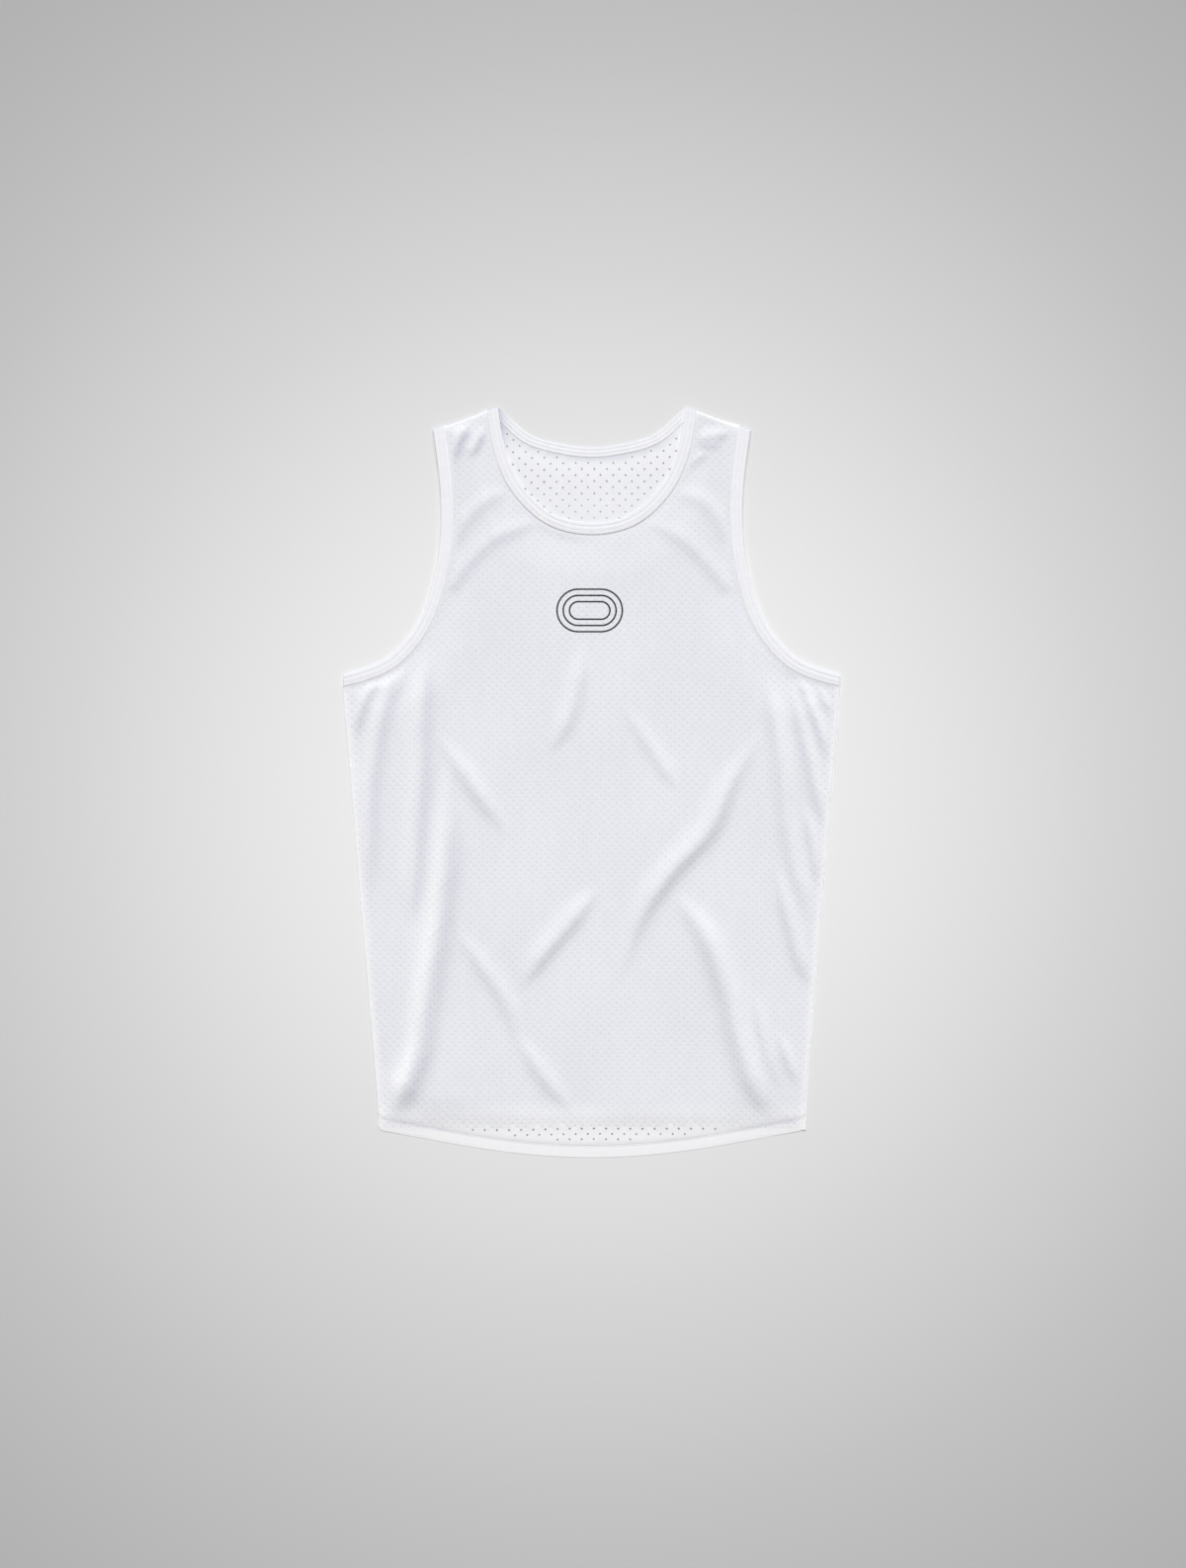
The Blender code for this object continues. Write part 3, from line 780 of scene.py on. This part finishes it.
def make_front_cloth(material):
    """The front: fine dimples over the back, and open eyelets where it lies there alone."""
    loop = front.loop
    low, high = loop.min(axis=0), loop.max(axis=0)

    def within(places, clearance):
        places = places[inside(places, loop)]
        seam, tape, hem = front.gaps(places)
        return places[(np.minimum(seam, tape) > clearance) & (hem > clearance)]

    eyelets = within(hole_places(HEM_EYELETS, HEM_EYELETS_START, high), HOLE_CLEARANCE)
    eyelets = eyelets[np.abs(eyelets[:, 0]) < HEM_EYELETS_HALF]
    eyelets = eyelets[back.above_hem(eyelets) < HEM_EYELETS_TOP]
    eyelets = eyelets[near(front.hem, eyelets) > HEM_EYELETS_BOTTOM]
    dimples = within(hole_places(DIMPLES, low, high), HOLE_CLEARANCE)
    dimples = dimples[back.above_hem(dimples) > DIMPLES_START]
    dimples = clear_of(eyelets, dimples, DIMPLE_CLEARANCE)
    between = dimples + (DIMPLES[0] / 2, 0)
    between = between[inside(between, loop)]

    eyelet_rings = rings(eyelets, HEM_EYELETS[2], HOLE_CORNERS["eyelet"])
    collars = rings(eyelets, HEM_EYELETS[2] + EYELET_COLLAR, HOLE_CORNERS["eyelet"])
    dimple_rings = rings(dimples, DIMPLES[2], HOLE_CORNERS["dimple"])
    fixed = np.vstack([eyelet_rings, dimple_rings, dimples, collars])
    hem_rows = clear_of(np.vstack([loop, fixed]), front.hem_rows(HEM_ROWS), HEM_ROW_GAP)
    hem_rows = hem_rows[inside(hem_rows, loop)]
    edge_rows = clear_of(np.vstack([fixed, hem_rows]), front.rows(EDGE_ROWS), EDGE_ROW_GAP)
    kept = np.vstack([loop, fixed, hem_rows, edge_rows])
    between = clear_of(kept, between, POINT_GAP)
    strip = within(hole_places(STRIP_POINTS, low, high), EDGE_CLEARANCE)
    strip = strip[back.above_hem(strip) < STRIP_TOP]
    strip = clear_of(np.vstack([kept, between]), strip, POINT_GAP)
    groups = eyelet_rings, dimple_rings, dimples, collars, hem_rows, edge_rows, between, strip
    outer = net(loop, *groups)
    points = outer[0]
    depth = np.zeros(len(points))
    rim = len(loop) + len(eyelet_rings)
    centres = rim + len(dimple_rings)
    depth[centres : centres + len(dimples)] = DIMPLE_DEPTH

    coarse = clear_of(np.vstack([loop, collars]), np.vstack([dimples, strip]), POINT_GAP)
    inner = net(loop, eyelet_rings, collars, coarse)
    steps = np.array([(0, 0), (1, 0), (-1, 0), (0, 1), (0, -1)]) * UNDERSIDE_REACH
    lowest = np.min([front_heights(inner[0] + step) for step in steps], axis=0)
    lowest[:rim] = front_heights(inner[0][:rim])

    holes = len(loop), len(loop), HOLE_CORNERS["eyelet"], len(eyelets)
    piece = add_shell(
        "front_cloth", loop, outer, front_surface(points) - depth, inner, lowest, holes, material
    )
    # Painted shade in the eyelets' walls and at the dimples' bottoms, fading out over the collars
    dark = np.ones(len(eyelet_rings))
    painted_light_value = np.full(len(dimples), DIMPLE_SHADE)
    mark(piece, "hole", (len(loop), dark), (centres, painted_light_value), (len(points) + len(loop), dark))
    # Painted shade and highlight: the folds', the hem's, where the front comes down past the back hem,
    # along the seams and on steep edges
    front_painted_shading = fold_fade(points) * folds(points)[1]
    front_painted_shading += np.interp(near(front.hem, points), *np.transpose(HEM_SHADE))
    front_painted_shading += np.interp(back.above_hem(points), *np.transpose(STEP_LIGHT))
    front_painted_shading -= SEAM_LIGHT * np.exp(-((near(front.seams, points) / SEAM_LIGHT_REACH) ** 2))
    mark(piece, "painted_shading", (0, front_painted_shading), (0, rim_shade(piece, CLOTH_RIM)))
    return piece


def make_back_cloth(material):
    """The back: open eyelets all over, its inside up."""
    loop = back.loop
    places = hole_places(BACK_EYELETS, loop.min(axis=0), loop.max(axis=0))
    places = places[inside(places, loop)]
    seam, tape, hem = back.gaps(places)
    edge = np.minimum(seam, tape)
    places = places[(edge > EDGE_CLEARANCE) & (hem > HEM_EYELETS_BOTTOM)]
    corners = HOLE_CORNERS["eyelet"]
    tight = np.exp(-(((places - TIGHT_PLACE) / TIGHT_REACH) ** 2).sum(axis=1))
    radius = (BACK_EYELETS[2] * (1 - TIGHTER * tight))[:, None, None]
    eyelet_rings = rings(places, radius, corners)
    shown = places[:, 1] > NECK_SHOWN
    collars = rings(places[shown], radius[shown] + EYELET_COLLAR, corners)
    hem_rows = back.hem_rows(HEM_ROWS[::2])
    hem_rows = hem_rows[inside(hem_rows, loop)]
    hem_rows = clear_of(np.vstack([loop, eyelet_rings]), hem_rows, EDGE_ROW_GAP)
    kept = np.vstack([loop, eyelet_rings, collars, hem_rows])
    between = places + (BACK_EYELETS[0] / 2, 0)
    between = clear_of(kept, between[inside(between, loop)], POINT_GAP)
    made = net(loop, eyelet_rings, collars, hem_rows, between)
    holes = len(loop), len(loop), corners, len(places)
    piece = add_shell(
        "back_cloth", loop, made, back_surface(made[0]), made, back_heights(made[0]), holes, material
    )
    size = len(made[0])
    # Painted shade in the back's eyelets that the neck's opening shows
    dark = np.repeat(shown * (BACK_EYELET_SHADE - FAINTER * tight), corners)
    mark(piece, "hole", (len(loop), dark), (size + len(loop), dark))
    # The back painted paler all over, painted shade and highlight on its steep edges, and the tape's
    # painted shadow
    light = np.full(2 * size, -BACK_LIGHT)
    rim = rim_shade(piece, CLOTH_RIM)
    mark(piece, "painted_shading", (0, light), (0, rim), (0, neck_shadow(made[0])))
    return piece


def tape_points(edges, ways, turn, section):
    """Points of a tape's section at one place.

    edges hold the free and the sewn edge's place, ways the directions in which they turn
    over a seam, and turn how far round they are.
    """
    share, height = np.transpose(section)
    share = share[:, None]
    place = edges[:2] + (edges[2:] - edges[:2]) * share
    way = ways[0] + (ways[1] - ways[0]) * share
    over = place + way * (np.sin(turn) * height)[:, None]
    return np.column_stack([over, tape_axis + np.cos(turn) * height])


def tape_rows(node, first):
    """A tape's front and back stretch, and the ways that its edges turn over at both ends."""
    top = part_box(node)[1].z
    front_rows = tape_edges(node, lambda f: min(v.co.z for v in f.verts) > top - WELD * 10, first)
    back_rows = tape_edges(node, lambda f: max(v.co.z for v in f.verts) < WELD * 10, first)
    ends = front_rows[0] - front_rows[1], front_rows[-1] - front_rows[-2]
    ways = [(unit(end[:2]), unit(end[2:])) for end in ends]
    step = TAPE_STEP * 2**0.5
    return smooth(front_rows, step), smooth(back_rows, step), ways


def make_tape(name, node, rows, material):
    """A folded tape as one closed ring: its front, over a seam, its back, and over the other."""
    front_rows, back_rows, (first_ways, last_ways) = rows
    turns = pi * np.arange(1, TAPE_BEND_STEPS) / TAPE_BEND_STEPS
    ring = [(edges, last_ways, 0) for edges in front_rows]
    ring += [(front_rows[-1], last_ways, turn) for turn in turns]
    ring += [(edges, last_ways, pi) for edges in back_rows[::-1]]
    ring += [(front_rows[0], first_ways, turn) for turn in turns[::-1]]
    sections = np.array([tape_points(*place, TAPE_SECTION) for place in ring])
    size = len(TAPE_SECTION)
    faces = []
    for i in range(len(ring)):
        for a in range(size):
            j, b = (i + 1) % len(ring), (a + 1) % size
            faces.append((i * size + a, i * size + b, j * size + b, j * size + a))
    piece = add_mesh(name, sections.reshape(-1, 3), faces, material)
    bm = bmesh.new()
    bm.from_mesh(piece.data)
    bmesh.ops.recalc_face_normals(bm, faces=bm.faces)
    bm.to_mesh(piece.data)
    bm.free()
    along = np.linalg.norm(np.diff(sections[:, 0], axis=0, append=sections[:1, 0]), axis=1).cumsum()
    across = np.linalg.norm(np.diff(sections[0], axis=0, append=sections[0][:1]), axis=1).cumsum()
    places = np.stack(np.meshgrid(along, across, indexing="ij"), axis=2).reshape(-1, 2) * MM
    corners = np.empty(len(piece.data.loops), np.int32)
    piece.data.loops.foreach_get("vertex_index", corners)
    piece.data.uv_layers.new(name="UVMap").data.foreach_set(
        "uv", places[corners].astype(np.float32).ravel()
    )
    # Painted shade and highlight on the tape's steep edges, and the painted shadow of the front's
    # stretch on the back stretch
    behind = sections[..., 2].ravel() < tape_axis
    shadow = behind * neck_shadow(sections.reshape(-1, 3)[:, :2])
    mark(piece, "painted_shading", (0, rim_shade(piece, TAPE_RIM)), (0, shadow))
    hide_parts(node)
    return piece


def model_stitch():
    """One stitch along X: its points and faces, from a low sphere drawn out and flattened."""
    bpy.ops.object.select_all(action="DESELECT")
    bpy.ops.mesh.primitive_uv_sphere_add(segments=6, ring_count=5, radius=0.5, rotation=(0, pi / 2, 0))
    bpy.ops.object.transform_apply(rotation=True)
    bpy.ops.object.mode_set(mode="EDIT")
    bpy.ops.mesh.select_all(action="SELECT")
    bpy.ops.transform.resize(value=STITCH_SIZE)
    bpy.ops.object.mode_set(mode="OBJECT")
    model = bpy.context.active_object
    points = np.array([v.co for v in model.data.vertices])
    faces = sorted(tuple(face.vertices) for face in model.data.polygons)
    bpy.data.objects.remove(model)
    return points, faces


def evenly(path, pitch):
    """Places a pitch apart along a path, and the path's direction there."""
    lengths = np.linalg.norm(np.diff(path, axis=0), axis=1)
    along = np.insert(lengths.cumsum(), 0, 0)
    at = np.arange(pitch / 2, along[-1], pitch)
    places = np.column_stack([np.interp(at, along, column) for column in path.T])
    ahead = np.column_stack([np.interp(at + 0.2, along, column) for column in path.T])
    behind = np.column_stack([np.interp(at - 0.2, along, column) for column in path.T])
    ways = ahead - behind
    return places, ways / np.linalg.norm(ways, axis=1)[:, None]


def sew(name, paths, material):
    """Rows of stitches, joined into one piece, along paths with the way their outside faces."""
    points, faces = stitch
    vertices = []
    joined = []
    for path, up in paths:
        for place, way in zip(*evenly(path, STITCH_PITCH)):
            side = unit(np.cross(up, way))
            top = np.cross(way, side)
            base = len(vertices) * len(points)
            vertices.append(place + points @ np.array([way, side, top]))
            joined += [tuple(i + base for i in face) for face in faces]
    return add_mesh(name, np.vstack(vertices), joined, material)


def tape_stitches(name, rows, inside_too, material):
    """Both lines of stitches along a tape, on the outside of its stretches."""
    front_rows, back_rows, (ways, _) = rows
    lines = [
        (front_rows, 0, STITCH_LINE_OUTSIDE, UP),
        (back_rows, pi, STITCH_LINE_OUTSIDE, -UP),
        (back_rows, pi, STITCH_LINE_INSIDE, UP),
    ]
    if not inside_too:
        lines.pop()
    paths = []
    for share in STITCH_LINES:
        for edges, turn, height, way in lines:
            line = [tape_points(row, ways, turn, [(share, height)]) for row in edges]
            paths.append((np.vstack(line), way))
    piece = sew(name, paths, material)
    return piece


def hem_stitches(name, panel, surface, material):
    """Both lines of stitches along a hem."""
    paths = []
    inner = slice(HEM_STITCH_ENDS, -HEM_STITCH_ENDS)
    for height in HEM_STITCH_LINES:
        line = panel.hem[inner] - right_of(panel.hem)[inner] * height
        line = line[near(panel.seams, line) > EDGE_CLEARANCE]
        paths.append((np.column_stack([line, surface(line) + HEM_STITCH_LIFT]), UP))
    piece = sew(name, paths, material)
    return piece


def select_where(piece, wanted):
    """Selects the wanted points of a piece in edit mode, with the edges between them."""
    bm = bmesh.from_edit_mesh(piece.data)
    for vertex in bm.verts:
        vertex.select_set(wanted(vertex.co))
    bm.select_flush(True)
    bmesh.update_edit_mesh(piece.data)


def model_lanes():
    """Three ring-shaped lanes of a running track, flat, with no straights."""
    bpy.ops.object.select_all(action="DESELECT")
    bpy.ops.object.add(type="MESH")
    piece = bpy.context.active_object
    bpy.ops.object.mode_set(mode="EDIT")
    for lane in PRINT_LANES:
        bpy.ops.mesh.select_all(action="DESELECT")
        for radius in (lane - PRINT_LINE / 2, lane + PRINT_LINE / 2):
            bpy.ops.mesh.primitive_circle_add(
                vertices=PRINT_BEND_POINTS, radius=radius, rotation=(0, 0, pi / PRINT_BEND_POINTS)
            )
            # both circles of the lane stay selected for the bridge
            select_where(piece, lambda place: abs(place.xy.length - lane) < PRINT_LINE)
        bpy.ops.mesh.bridge_edge_loops()
    bpy.ops.object.mode_set(mode="OBJECT")
    return piece


def make_print(material):
    """The lanes with their straights, as a thin film that follows the front's cloth."""
    piece = model_lanes()
    piece.name = "chest_print"
    bpy.ops.object.mode_set(mode="EDIT")
    for side in (-1, 1):
        select_where(piece, lambda place: place.x * side > 0)
        bpy.ops.transform.translate(value=(side * PRINT_STRAIGHT / 2, 0, 0))
    bm = bmesh.from_edit_mesh(piece.data)
    for edge in bm.edges:
        edge.select_set(abs(edge.verts[0].co.x - edge.verts[1].co.x) > PRINT_STRAIGHT / 2)
    bmesh.update_edit_mesh(piece.data)
    bpy.ops.mesh.subdivide(number_cuts=PRINT_STRAIGHT_CUTS)
    bpy.ops.mesh.select_all(action="SELECT")
    bpy.ops.transform.translate(value=(*PRINT_CENTRE, 0))
    bpy.ops.object.mode_set(mode="OBJECT")
    places = np.array([v.co.xy for v in piece.data.vertices])
    heights = front_surface(places) + PRINT_FILM
    for vertex, height in zip(piece.data.vertices, heights):
        vertex.co.z = height
        vertex.co *= MM
    solid = piece.modifiers.new("Film", "SOLIDIFY")
    solid.thickness = 2 * PRINT_FILM * MM
    bpy.ops.object.modifier_apply(modifier=solid.name)
    piece.data.shade_smooth()
    piece.data.materials.append(material)
    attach(piece, "root")
    return piece


class Nodes:
    """Adds nodes to a tree in a row and links them."""

    def __init__(self, tree):
        self.tree = tree

    def add(self, kind, values=(), **settings):
        node = self.tree.nodes.new(kind)
        node.location = (len(self.tree.nodes) * 180 - 1800, 0)
        for name, value in settings.items():
            setattr(node, name, value)
        for socket, value in dict(values).items():
            if isinstance(value, bpy.types.NodeSocket):
                self.tree.links.new(value, node.inputs[socket])
            else:
                node.inputs[socket].default_value = value
        return node

    def link(self, output, socket):
        self.tree.links.new(output, socket)

    def math(self, operation, a, b=0.0, c=0.0):
        return self.add("ShaderNodeMath", {0: a, 1: b, 2: c}, operation=operation).outputs[0]

    def mix(self, factor, first, second, **settings):
        """The colour between two others, or with a blend type, their product."""
        values = {"Factor": factor, 6: first, 7: second}
        return self.add("ShaderNodeMix", values, data_type="RGBA", **settings).outputs[2]

    def noise(self, place, scale, detail):
        values = {"Vector": place, "Scale": scale, "Detail": detail}
        return self.add("ShaderNodeTexNoise", values).outputs["Fac"]

    def spread(self, value, low, high):
        """A value from 0 to 1 brought to between low and high."""
        values = {"Value": value, "To Min": low, "To Max": high}
        return self.add("ShaderNodeMapRange", values).outputs[0]

    def attribute(self, name):
        return self.add("ShaderNodeAttribute", attribute_name=name).outputs["Fac"]

    def bump(self, height, strength, distance):
        values = {"Height": height, "Strength": strength, "Distance": distance}
        return self.add("ShaderNodeBump", values).outputs[0]


def knit_group():
    """Columns of knitted loops: their relief, and a tone that varies from column to column."""
    group = bpy.data.node_groups.new("Knit loops", "ShaderNodeTree")
    for title, kind, value in (
        ("Place", "NodeSocketVector", (0, 0, 0)),
        ("Column", "NodeSocketFloat", 0.0007),
        ("Course", "NodeSocketFloat", 0.0006),
        ("Streak length", "NodeSocketFloat", 12.0),
    ):
        socket = group.interface.new_socket(title, in_out="INPUT", socket_type=kind)
        socket.default_value = value
    for title in ("Relief", "Tone", "Fuzz"):
        group.interface.new_socket(title, in_out="OUTPUT", socket_type="NodeSocketFloat")
    nodes = Nodes(group)
    given, result = nodes.add("NodeGroupInput"), nodes.add("NodeGroupOutput")
    axes = nodes.add("ShaderNodeSeparateXYZ", {0: given.outputs["Place"]})
    columns = nodes.math("DIVIDE", axes.outputs["X"], given.outputs["Column"])
    leg = nodes.math("MULTIPLY", nodes.math("PINGPONG", columns, 0.5), 2.0)
    courses = nodes.math("DIVIDE", axes.outputs["Y"], given.outputs["Course"])
    slanted = nodes.math("MULTIPLY_ADD", leg, 0.6, courses)
    loops = nodes.math("SINE", nodes.math("MULTIPLY", slanted, 2 * pi))
    rounded = nodes.math("SINE", nodes.math("MULTIPLY", leg, pi / 2))
    relief = nodes.math("MULTIPLY_ADD", loops, 0.25, rounded)
    nodes.link(relief, result.inputs["Relief"])
    drawn = nodes.math("DIVIDE", axes.outputs["Y"], given.outputs["Streak length"])
    streaks = nodes.add(
        "ShaderNodeCombineXYZ", {"X": axes.outputs["X"], "Y": drawn, "Z": axes.outputs["Z"]}
    )
    nodes.link(nodes.noise(streaks.outputs[0], 160.0, 3.0), result.inputs["Tone"])
    nodes.link(nodes.noise(given.outputs["Place"], 1400.0, 2.0), result.inputs["Fuzz"])


def new_material(name, colour, roughness, sheen):
    """A material with its plain values set on the shader itself."""
    material = bpy.data.materials.new(name)
    material.use_nodes = True
    material.diffuse_color = colour
    shader = material.node_tree.nodes["Principled BSDF"]
    shader.inputs["Base Color"].default_value = colour
    shader.inputs["Roughness"].default_value = roughness
    shader.inputs["Sheen Weight"].default_value = sheen
    shader.inputs["Sheen Roughness"].default_value = 0.45
    return material, shader, Nodes(material.node_tree)


def knitted(name, place, colours, sizes, bump, roughness=0.86, sheen=0.12):
    """A knit: loops in relief, a streaky tone, fuzz on its gloss, and painted shade and highlight."""
    material, shader, nodes = new_material(name, colours[0], roughness, sheen)
    coordinates = nodes.add("ShaderNodeTexCoord")
    knit = nodes.add("ShaderNodeGroup", node_tree=bpy.data.node_groups["Knit loops"])
    nodes.link(coordinates.outputs[place], knit.inputs["Place"])
    for socket, size in zip(("Column", "Course", "Streak length"), sizes):
        knit.inputs[socket].default_value = size
    contrast = nodes.add(
        "ShaderNodeMapRange", {"Value": knit.outputs["Tone"], "From Min": 0.35, "From Max": 0.68}
    )
    blend = nodes.mix(contrast.outputs[0], colours[1], colours[0])
    # Painted shade in the holes, then painted shade and highlight from the points' painted shading
    holed = nodes.mix(nodes.attribute("hole"), blend, HOLE_SHADE)
    dimmed = nodes.mix(nodes.attribute("painted_shading"), PURE_WHITE, PAINTED_SHADE_TINT, clamp_factor=False)
    shaded = nodes.mix(1.0, holed, dimmed, blend_type="MULTIPLY")
    nodes.link(shaded, shader.inputs["Base Color"])
    fuzz = knit.outputs["Fuzz"]
    gloss = nodes.spread(fuzz, roughness - KNIT_GLOSS_RANGE, roughness + KNIT_GLOSS_RANGE)
    nodes.link(gloss, shader.inputs["Roughness"])
    relief = nodes.math("MULTIPLY_ADD", fuzz, 0.5, knit.outputs["Relief"])
    nodes.link(nodes.bump(relief, *bump), shader.inputs["Normal"])
    return material


def speckled(name, colours, scale, roughness, bump):
    """A plain finish with a fine noise in its tone, gloss and surface."""
    material, shader, nodes = new_material(name, colours[0], roughness, 0.0)
    coordinates = nodes.add("ShaderNodeTexCoord")
    noise = nodes.noise(coordinates.outputs["Object"], scale, 4.0)
    nodes.link(nodes.mix(noise, *colours), shader.inputs["Base Color"])
    gloss = nodes.spread(noise, roughness - THREAD_GLOSS_RANGE, roughness + THREAD_GLOSS_RANGE)
    nodes.link(gloss, shader.inputs["Roughness"])
    nodes.link(nodes.bump(noise, *bump), shader.inputs["Normal"])
    return material


def painted_light_pool_paper():
    """Backdrop paper with a painted pool of light, paler in the middle, and a faint fleck."""
    material, shader, nodes = new_material("Paper with painted light pool", (0.7, 0.7, 0.7, 1.0), 0.92, 0.0)
    coordinates = nodes.add("ShaderNodeTexCoord")
    distance = nodes.add(
        "ShaderNodeVectorMath", {0: coordinates.outputs["Object"]}, operation="LENGTH"
    )
    light_pool = nodes.add("ShaderNodeValToRGB", {"Fac": distance.outputs["Value"]})
    ramp = light_pool.color_ramp
    ramp.interpolation = "B_SPLINE"
    while len(ramp.elements) < len(PAPER_LIGHT_POOL):
        ramp.elements.new(1.0)
    for element, (place, painted_light_value) in zip(ramp.elements, PAPER_LIGHT_POOL):
        element.position = place
        element.color = (painted_light_value, painted_light_value, painted_light_value, 1.0)
    fleck = nodes.noise(coordinates.outputs["Object"], 700.0, 3.0)
    flecked = nodes.spread(fleck, PAPER_FLECK, 1.0)
    colour = nodes.mix(1.0, light_pool.outputs["Color"], flecked, blend_type="MULTIPLY")
    nodes.link(colour, shader.inputs["Base Color"])
    nodes.link(nodes.bump(fleck, 0.05, 0.0002), shader.inputs["Normal"])
    return material


def make_floor(material):
    """A wide pale floor, not part of the garment."""
    bpy.ops.object.select_all(action="DESELECT")
    bpy.ops.mesh.primitive_plane_add(size=12)
    floor = bpy.context.active_object
    floor.name = "floor"
    floor.data.materials.append(material)


def make_lights():
    """A wide soft light overhead, and a lower one beyond the neck that brings out the folds."""
    bpy.ops.object.light_add(type="AREA", location=OVERHEAD_PLACE)
    overhead = bpy.context.active_object
    overhead.data.shape = "DISK"
    overhead.data.size = 1.0
    overhead.data.energy = OVERHEAD_POWER
    overhead.visible_camera = False
    bpy.ops.object.light_add(type="SUN", rotation=(radians(KEY_ELEVATION - 90), 0, 0))
    key = bpy.context.active_object
    key.data.angle = radians(KEY_SPREAD)
    key.data.energy = KEY_STRENGTH
    world = bpy.data.worlds.new("studio")
    world.use_nodes = True
    background = world.node_tree.nodes["Background"]
    background.inputs["Color"].default_value = PURE_WHITE
    background.inputs["Strength"].default_value = WORLD_STRENGTH
    bpy.context.scene.world = world
    bpy.context.scene.view_settings.view_transform = "Standard"


def make_camera():
    """A long lens straight above the garment."""
    bpy.ops.object.camera_add(location=CAMERA_PLACE, rotation=(0, 0, 0))
    camera = bpy.context.active_object
    camera.data.lens = 85
    camera.data.sensor_width = 36
    camera.data.clip_end = 30
    bpy.context.scene.camera = camera


make_camera()
make_lights()
tape_low, tape_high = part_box("neck_binding")
tape_axis = (tape_low.z + tape_high.z) / 2 / MM

knit_group()
cloth = knitted("White eyelet knit", "Object", KNIT_WHITES, CLOTH_KNIT, (0.22, 0.00012))
rib = knitted("White rib tape", "UV", RIB_WHITES, TAPE_KNIT, (0.25, 0.00012))
ink = knitted(
    "Black print ink", "Object", INK_BLACKS, PRINT_KNIT, (0.3, 0.00008), roughness=0.62, sheen=0.0
)
thread = speckled("White thread", THREAD_WHITES, 2600.0, 0.55, (0.4, 0.00008))

front = Panel("front_panel")
back = Panel("back_panel")
make_floor(painted_light_pool_paper())
front_cloth = make_front_cloth(cloth)
back_cloth = make_back_cloth(cloth)
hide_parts("front_panel")
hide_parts("back_panel")

stitch = model_stitch()
on_front = [make_print(ink)]
for node, first in (
    ("neck_binding", lambda place: -place[0]),
    ("armhole_binding_left", lambda place: place[1]),
    ("armhole_binding_right", lambda place: place[1]),
):
    rows = tape_rows(node, first)
    short = node.replace("_binding", "")
    on_front.append(make_tape(short + "_tape", node, rows, rib))
    on_front.append(tape_stitches(short + "_stitches", rows, short == "neck", thread))
on_front.append(hem_stitches("front_hem_stitches", front, front_surface, thread))
on_back = [hem_stitches("back_hem_stitches", back, back_surface, thread)]
